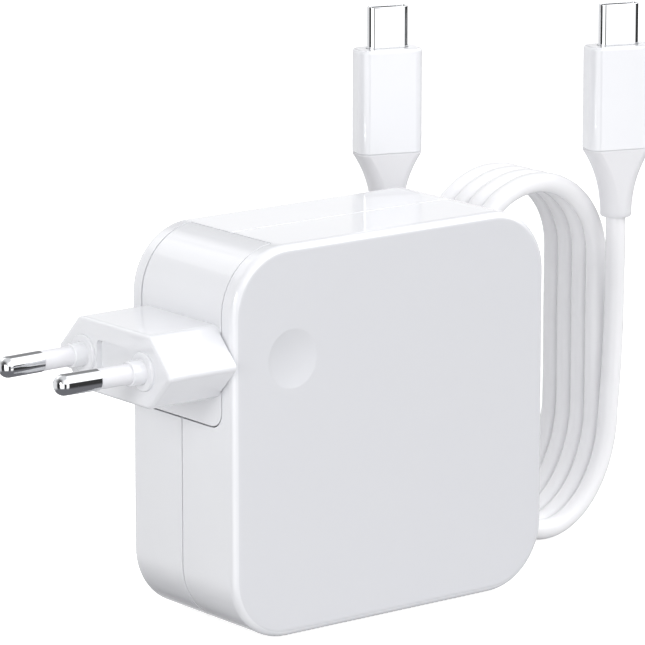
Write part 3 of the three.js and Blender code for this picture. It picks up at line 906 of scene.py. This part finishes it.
class ADAPTER_OT_usb_plugs(bpy.types.Operator):
    """Makes the two USB-C plugs: strain reliefs, grips, steel shells and contact inserts"""

    bl_idname = "adapter.usb_plugs"
    bl_label = "USB-C plugs"

    def execute(self, context):
        s = context.scene.cable
        for side, top in (("left", LEFT_TOP), ("right", RIGHT_TOP)):
            place = at(top[0], top[1], top[2] + GAP) @ Matrix.Rotation(s.turn, 4, "Z")
            low = s.relief_length / MM + GAP
            high = low + s.grip_length / MM
            tip = high + s.shell_length / MM
            relief = settle(f"plug_relief_{side}", moved(plug_relief(s), place))
            dress(
                relief, "cable", finish("relief_elastomer"),
                [f"strain_relief_{side}"],
            )

            grip = settle(f"plug_grip_{side}", moved(plug_grip(s, low, high), place))
            pocket = (s.shell_width / MM + 0.4, s.shell_thickness / MM + 0.4)
            pocket = capsule_bar("Z", pocket, (0, 0), high - 3.3, high + 1, steps=12)
            cut(grip, moved(pocket, place))
            dress(
                grip, "cable", finish("gloss_polycarbonate"),
                [f"usb_plug_grip_{side}"],
            )

            shell = settle(f"plug_shell_{side}", moved(plug_shell(s, high - 3, tip), place))
            dress(shell, "cable", finish("drawn_steel"), [f"usb_plug_shell_{side}"])

            rings = [(high - 2.5, 3.75, 0.86), (tip - 1.05, 3.75, 0.86), (tip - 0.9, 3.6, 0.71)]
            insert = settle(f"plug_insert_{side}", moved(loft(rings), place))
            cut(insert, moved(block((-3.1, 3.1), (-0.4, 0.4), (high - 1.5, tip)), place))
            springs = []
            for row in (-1, 1):
                for x in CONTACT_ROW:
                    y = sorted((row * 0.22, row * 0.5))
                    spring = block((x - 0.12, x + 0.12), y, (high - 1.4, tip - 1.3))
                    springs.append(moved(spring, place))
            add_contacts(insert, springs)
            # The mouth of the insert is ringed by its plated springs.
            for polygon in insert.data.polygons:
                if polygon.normal.z > 0.3:
                    polygon.material_index = 1
            dress(
                insert, "cable", [finish("black_nylon"), finish("gold_contact")],
                [f"usb_plug_core_{side}"],
            )
        return {"FINISHED"}


def add_contacts(piece, blocks):
    """Adds contacts to a piece, painted with its second material."""
    contacts = settle("contacts", *blocks)
    for polygon in contacts.data.polygons:
        polygon.material_index = 1
    whole = bmesh.new()
    whole.from_mesh(piece.data)
    whole.from_mesh(contacts.data)
    whole.to_mesh(piece.data)
    whole.free()
    bpy.data.objects.remove(contacts)


# ------------------------------------------------------------------ brick

DIMPLE_X, DIMPLE_Z = -23.4, 52.7
INLET_X = -32.1  # the middle of the inlet
INLET_SPREAD = 4.3  # from the middle to each inlet pin
STUD_Z = 56
PIN_SIDES = (("front", -1), ("rear", 1))


class Sizes:
    """The sizes of the brick, its recess and its plug, in millimetres."""

    def __init__(self):
        b, h = bpy.context.scene.brick, bpy.context.scene.head
        self.width, self.depth, self.height = b.width / MM, b.depth / MM, b.height / MM
        self.corner, self.edge, self.wall = b.corner / MM, b.edge / MM, b.wall / MM
        self.middle = (0, self.height / 2)
        self.outer = -self.width / 2  # the side with the mains pins
        self.recess = self.outer + h.recess / MM  # the recess's back
        self.side, self.floor, self.low_corner = h.width / 2 / MM, h.floor / MM, h.corner / MM
        self.plug = h.plug_height / MM
        self.face = self.outer - h.plug_reach / MM  # the plug's face


def rod(radius, low, high):
    return turned([(0, low), (radius, low), (radius, high), (0, high)], 32)


def recess_block(b, gap=0):
    """The room for the plug head in the brick's corner, rounded below and open above. With a gap,
    the block that fits in it."""
    side, floor, top = b.side - gap, b.floor + gap, b.height + 12
    return rounded_bar(
        "X", (2 * side, top - floor), (0, (top + floor) / 2), b.low_corner - gap, b.outer - 2,
        b.recess - gap, steps=6,
    )


def dimple_tool(b):
    """A shallow bowl that is pressed into the front, with a fine lip."""
    radius, depth, lip = bpy.context.scene.brick.dimple / 2 / MM, 0.8, 0.25
    sphere = (radius ** 2 + depth ** 2) / (2 * depth)
    reach = math.asin(radius / sphere)
    bowl = [(sphere * math.sin(reach * i / 14), sphere - depth - sphere * math.cos(reach * i / 14))
            for i in range(14)]
    profile = bowl + [(radius, 0), (radius + lip, 0.06), (radius + lip, 1), (0, 1)]
    place = at(DIMPLE_X, -b.depth / 2, DIMPLE_Z) @ Matrix.Rotation(math.pi / 2, 4, "X")
    return moved(turned(profile, 96), place)


def shell_tools(b, front):
    """What is cut out of a half of the housing: its cavity, the recess and the holes."""
    size = (b.width - 2 * b.wall, b.height - 2 * b.wall)
    reach = (-b.depth / 2 + b.wall, 3) if front else (-3, b.depth / 2 - b.wall)
    cavity = settle("cavity", rounded_bar("Y", size, b.middle, b.corner - b.wall, *reach))
    liner = 1.6  # the wall round the recess
    cut(cavity, block(
        (-b.width, b.recess + liner), (-b.depth, b.depth), (b.floor - liner, b.height + 9),
    ))
    inlet = block((INLET_X - 2.5, INLET_X + 2.5), (-8, 8), (b.floor - 4, b.floor + 1))
    stud = moved(rod(1.8, -4, 4), at(b.recess, 0, STUD_Z) @ Matrix.Rotation(math.pi / 2, 4, "Y"))
    outlet = capsule_bar("X", (3.6, 9.4), b.middle, b.width / 2 - 3, b.width / 2 + 1)
    return cavity, recess_block(b), inlet, stud, outlet


def half_shell(b, front):
    """A half of the housing, with a lip inside its rim or the step that takes it."""
    name = "housing_front" if front else "housing_back"
    rounds = (b.edge, 0.12) if front else (0.12, b.edge)
    reach = (-b.depth / 2, -GAP / 2) if front else (GAP / 2, b.depth / 2)
    shell = settle(name, rounded_bar(
        "Y", (b.width, b.height), b.middle, b.corner, *reach, rounds=rounds, steps=16, segments=5,
    ))
    inset, top = (1.4, 0.9) if front else (1.2, 1.1)
    lip = rounded_bar(
        "Y", (b.width - 2 * inset, b.height - 2 * inset), b.middle, b.corner - inset, -3, top,
    )
    combine(shell, "UNION" if front else "DIFFERENCE", lip)
    cavity, *holes = shell_tools(b, front)
    cut(shell, cavity)
    return cut(shell, *holes)


class ADAPTER_OT_housing(bpy.types.Operator):
    """Makes the two halves of the brick's housing"""

    bl_idname = "adapter.housing"
    bl_label = "Housing"

    def execute(self, context):
        b = Sizes()
        for front, node in ((True, "front_shell"), (False, "back_shell")):
            shell = half_shell(b, front)
            if front:
                cut(shell, dimple_tool(b))
            finishes = [finish("gloss_polycarbonate"), finish("satin_polycarbonate")]
            dress(shell, "brick", finishes, [node])
            # The large faces are satin, the dimple with them, and all the rest is glossy.
            face = context.scene.brick.depth / 2 - 1.2 * MM
            for polygon in shell.data.polygons:
                flat = abs(polygon.normal.y) > 0.95 and abs(polygon.center.y) > face
                polygon.material_index = 1 if flat else 0
        return {"FINISHED"}


class ADAPTER_OT_receptacle(bpy.types.Operator):
    """Makes the USB-C receptacle in the side of the brick"""

    bl_idname = "adapter.receptacle"
    bl_label = "USB-C receptacle"

    def execute(self, context):
        b = Sizes()
        right = b.width / 2 - 0.25
        left = right - 7.4
        turn = (at(0, *b.middle) @ Matrix.Rotation(math.pi / 2, 4, "X")
                @ Matrix.Rotation(math.pi / 2, 4, "Y"))
        wall, wide, thick = 0.28, 8.94 / 2, 3.16 / 2
        rings = [(left, wide, thick), (right - 0.2, wide, thick), (right, wide - 0.1, thick - 0.1)]
        rings += [(x, wide - wall, thick - wall) for x in (right - 0.05, left + 0.8)]
        shell = settle("receptacle_shell", moved(loft(rings), turn))
        dress(shell, "brick", finish("drawn_steel"), ["usb_receptacle_shell"])
        tongue = settle("receptacle_tongue", rounded_bar(
            "X", (0.7, 6.6), b.middle, 0.3, left + 0.9, right - 1.3, rounds=(0, 0.2), steps=3,
            segments=2,
        ))
        pads = []
        for row in (-1, 1):
            for across in CONTACT_ROW:
                z = b.middle[1] + across
                y = sorted((row * 0.3, row * 0.4))
                pads.append(block((left + 1.2, right - 1.9), y, (z - 0.13, z + 0.13)))
        add_contacts(tongue, pads)
        dress(
            tongue, "brick", [finish("black_nylon"), finish("gold_contact")],
            ["usb_receptacle_tongue"],
        )
        return {"FINISHED"}


class ADAPTER_OT_inlet(bpy.types.Operator):
    """Makes the inlet under the plug head: its block, its two pins and the earth stud"""

    bl_idname = "adapter.inlet"
    bl_label = "Mains inlet"

    def execute(self, context):
        b = Sizes()
        inlet = settle("inlet_body", rounded_bar(
            "Z", (4.4, 15.4), (INLET_X, 0), 1.2, b.floor - 7.5, b.floor - 0.05,
            rounds=(0.2, 0.25), steps=5, segments=2,
        ))
        cut(inlet, *(
            moved(rod(1.5, -9, 1), at(INLET_X, side * INLET_SPREAD, b.floor)) for side in (-1, 1)
        ))
        dress(inlet, "brick", finish("black_nylon"), ["inlet_block"])
        for name, side in PIN_SIDES:
            radius, shoulder = 1.2, b.floor + 7.9
            profile = [(0, b.floor - 9.5), (radius, b.floor - 9.5), (radius, shoulder)]
            profile += arc((0.1, shoulder), radius - 0.1, 0, 88, 6) + [(0, shoulder + 1.1)]
            place = at(INLET_X, side * INLET_SPREAD, 0)
            pin = settle(f"inlet_prong_{name}", moved(turned(profile, 40), place))
            dress(pin, "brick", finish("nickel_plate"), [f"inlet_pin_{name}"])
        profile = [(0, -3), (1.5, -3), (1.5, 0.3), (2.4, 0.3), (2.5, 0.4), (2.5, 2.1), (3.8, 2.1)]
        profile += [(4.0, 2.3), (4.0, 3.2)] + arc((3.7, 3.2), 0.3, 0, 90, 4)
        profile += [(0.9, 3.5), (0.6, 3.2), (0, 3.2)]
        stud = settle("earth_stud", moved(
            turned(profile, 56), at(b.recess, 0, STUD_Z) @ Matrix.Rotation(-math.pi / 2, 4, "Y"),
        ))
        dress(stud, "brick", finish("nickel_plate"), ["ground_stud"])
        return {"FINISHED"}


# ------------------------------------------------------------------ plug head

PLUG_FLAT = 11  # half the width of the plug body's flat top


def plug_body(b, low, high, grow=0, rounding=0.9, rim=0):
    """The flat plug body, an elongated hexagon pushed along X, with its edges rounded."""
    h = bpy.context.scene.head
    half, thick = h.plug_width / 2 / MM, h.plug_thickness / 2 / MM
    slope = math.atan2(thick, half - PLUG_FLAT)
    thick += grow
    tip = half + grow / math.sin(slope)
    flat = tip - thick / math.tan(slope)
    corners = [(tip, 0), (flat, thick), (-flat, thick), (-tip, 0), (-flat, -thick), (flat, -thick)]
    bm = bmesh.new()
    bm.faces.new([bm.verts.new((y, b.plug + up, 0)) for y, up in corners])
    bmesh.ops.bevel(
        bm, geom=bm.verts[:], offset=rounding, offset_type="OFFSET", segments=5, profile=0.5,
        affect="VERTICES", material=-1,
    )
    return push(bm, "X", low, high, rounds=(rim, 0))


def pin_place(b, side):
    """Where a pin stands: its +Z runs out of the plug's face, and leans in a little."""
    h = bpy.context.scene.head
    lean = math.atan2(0.55, h.pin_length / MM)
    return (at(b.face, side * h.pin_spacing / 2 / MM, b.plug)
            @ Matrix.Rotation(side * lean, 4, "Z") @ Matrix.Rotation(-math.pi / 2, 4, "Y"))


def pin_collar():
    """The raised ring round a pin's foot, and the start of its sleeve."""
    profile = [(0, -1), (3.6, -1), (3.6, 0.35)] + arc((3.35, 0.35), 0.25, 0, 90, 4)
    profile += [(2.35, 0.6), (2.3, 0.7), (2.3, 3.2)] + arc((2.1, 3.2), 0.2, 0, 90, 3)
    return turned(profile + [(0, 3.4)], 64)


class ADAPTER_OT_plug_head(bpy.types.Operator):
    """Makes the plug head's cover, with the flat plug body on its side"""

    bl_idname = "adapter.plug_head"
    bl_label = "Plug head"

    def execute(self, context):
        b = Sizes()
        side, back, wall = b.side - GAP, b.recess - GAP, 1.6
        cover = settle("plug_head_shell", rounded_bar(
            "Y", (b.width, b.height), b.middle, b.corner, -side, side, rounds=(0.15, 0.15),
            steps=16, segments=2,
        ))
        cross(cover, recess_block(b, GAP))
        # The plug's root ends with the cover's sides, where its outline is wider than they are.
        root = settle("root", plug_body(b, b.outer - 1.5, b.outer + 0.5, grow=-0.02))
        cross(root, block((b.outer - 3, b.outer + 7), (-side, side), (0, b.height)))
        join(cover, root)
        join(cover, plug_body(b, b.face, b.outer - 0.3, rim=0.7))
        join(cover, *(moved(pin_collar(), pin_place(b, s)) for s in (-1, 1)))
        room = settle("room", rounded_bar(
            "Y", (b.width - 2 * wall, b.height - 2 * wall), b.middle, b.corner - wall,
            wall - side, side - wall, steps=12,
        ))
        cross(room, block(
            (b.outer + 1, back + 1), (wall - side, side - wall), (b.floor + 1.9, b.height),
        ))
        cut(cover, room)
        pocket = rounded_bar(
            "X", (10.4, 6.8), (0, b.plug), 1.0, b.face - 1, b.face + 1.2, rounds=(0, 0.3),
            steps=5, segments=2,
        )
        passage = plug_body(b, b.face + 2.5, b.outer - 1.5, grow=-1.9, rounding=0.3)
        throat = block(
            (b.outer - 3, b.outer + 2), (-10.2, 10.2), (b.plug - 4.9, b.plug + 4.9),
        )
        shanks = [moved(rod(1.5, -8, 5), pin_place(b, s)) for s in (-1, 1)]
        sockets = [moved(rod(1.6, -1, 4), at(INLET_X, s * INLET_SPREAD, b.floor)) for s in (-1, 1)]
        # The stud's neck and head slide through these as the plug head goes on.
        neck = block((-27.4, back + 1), (-2.8, 2.8), (b.floor - 1, b.floor + 3))
        head_way = block((-29.3, -27.3), (-4.4, 4.4), (b.floor - 1, b.floor + 3))
        cut(cover, pocket, passage, throat, *shanks, *sockets, neck, head_way)
        dress(
            cover, "plug_head", finish("gloss_polycarbonate"), ["plug_head_cover"],
        )
        return {"FINISHED"}


class ADAPTER_OT_mains_pins(bpy.types.Operator):
    """Makes the two mains pins and their insulating sleeves"""

    bl_idname = "adapter.mains_pins"
    bl_label = "Mains pins"

    def execute(self, context):
        b, h = Sizes(), context.scene.head
        long, r, shank, tip = h.pin_length / MM, h.pin_diameter / 2 / MM, 1.2, 1.9
        bare = long - 9  # where the sleeve ends
        for name, side in PIN_SIDES:
            profile = [(0, -13.5), (shank, -13.5), (shank, bare - 0.05), (r - 0.15, bare - 0.05)]
            profile += [(r, bare + 0.1), (r, long - tip)]
            profile += arc((r - tip, long - tip), tip, 8, 90, 10) + [(0, long)]
            pin = settle(f"mains_pin_{name}", moved(turned(profile, 64), pin_place(b, side)))
            dress(pin, "plug_head", finish("nickel_plate"), [f"plug_pin_{name}"])
            profile = [(1.25, 3.3), (1.9, 3.3), (1.9, bare - 0.2), (1.8, bare - 0.06)]
            profile += [(1.25, bare - 0.06), (1.25, 3.3)]
            sleeve = settle(f"pin_sheath_{name}", moved(turned(profile, 48), pin_place(b, side)))
            dress(sleeve, "plug_head", finish("sleeve_nylon"), [f"pin_sleeve_{name}"])
        return {"FINISHED"}


class ADAPTER_OT_inside(bpy.types.Operator):
    """Gives the carried-over inner parts their materials"""

    bl_idname = "adapter.inside"
    bl_label = "Inner parts"

    def execute(self, context):
        inner = {
            "gloss_polycarbonate": ["plug_head_back_plate"],
            "stamped_brass": ["socket_contact_front", "socket_contact_rear"],
            "laminate": ["circuit_board", "output_board"],
            "film": ["insulator_front", "insulator_back", "fuse"],
            "sheet_aluminium": ["heat_spreader", "output_capacitor_1", "output_capacitor_2"],
            "ferrite": ["transformer_core"],
            "tape": ["transformer_winding", "mains_filter_capacitor"],
            "capacitor_sleeve": ["bulk_capacitor_1", "bulk_capacitor_2"],
            "epoxy": ["safety_capacitor"],
            "enamelled_wire": ["line_filter_choke"],
            "black_nylon": ["bridge_rectifier", "power_transistor"],
        }
        for name, nodes in inner.items():
            for node in nodes:
                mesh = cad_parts[node].data
                mesh.materials.clear()
                mesh.materials.append(finish(name))
        return {"FINISHED"}


# ------------------------------------------------------------------ add-on

STEPS = (
    ADAPTER_OT_stage, ADAPTER_OT_cable, ADAPTER_OT_tie, ADAPTER_OT_usb_plugs, ADAPTER_OT_housing,
    ADAPTER_OT_receptacle, ADAPTER_OT_inlet, ADAPTER_OT_plug_head, ADAPTER_OT_mains_pins,
    ADAPTER_OT_inside,
)
SETTINGS = {
    "brick": BrickSettings, "head": HeadSettings, "cable": CableSettings, "stage": StageSettings,
}


class ADAPTER_PT_panel(bpy.types.Panel):
    """Lists the adapter's pieces and their sizes"""

    bl_label = "Laptop power adapter"
    bl_space_type = "VIEW_3D"
    bl_region_type = "UI"
    bl_category = "Adapter"

    def draw(self, context):
        for name, group in SETTINGS.items():
            box = self.layout.box()
            box.label(text=group.__doc__)
            for key in group.__annotations__:
                box.prop(getattr(context.scene, name), key)
        for step in STEPS:
            self.layout.operator(step.bl_idname)


def register():
    for group in SETTINGS.values():
        bpy.utils.register_class(group)
    for name, group in SETTINGS.items():
        setattr(bpy.types.Scene, name, PointerProperty(type=group))
    for step in (*STEPS, ADAPTER_PT_panel):
        bpy.utils.register_class(step)


def unregister():
    for step in (ADAPTER_PT_panel, *reversed(STEPS)):
        bpy.utils.unregister_class(step)
    for name, group in SETTINGS.items():
        delattr(bpy.types.Scene, name)
        bpy.utils.unregister_class(group)


def main():
    register()
    for step in STEPS:
        family, name = step.bl_idname.split(".")
        getattr(getattr(bpy.ops, family), name)()
    declare_cable()


if __name__ == "__main__":
    main()
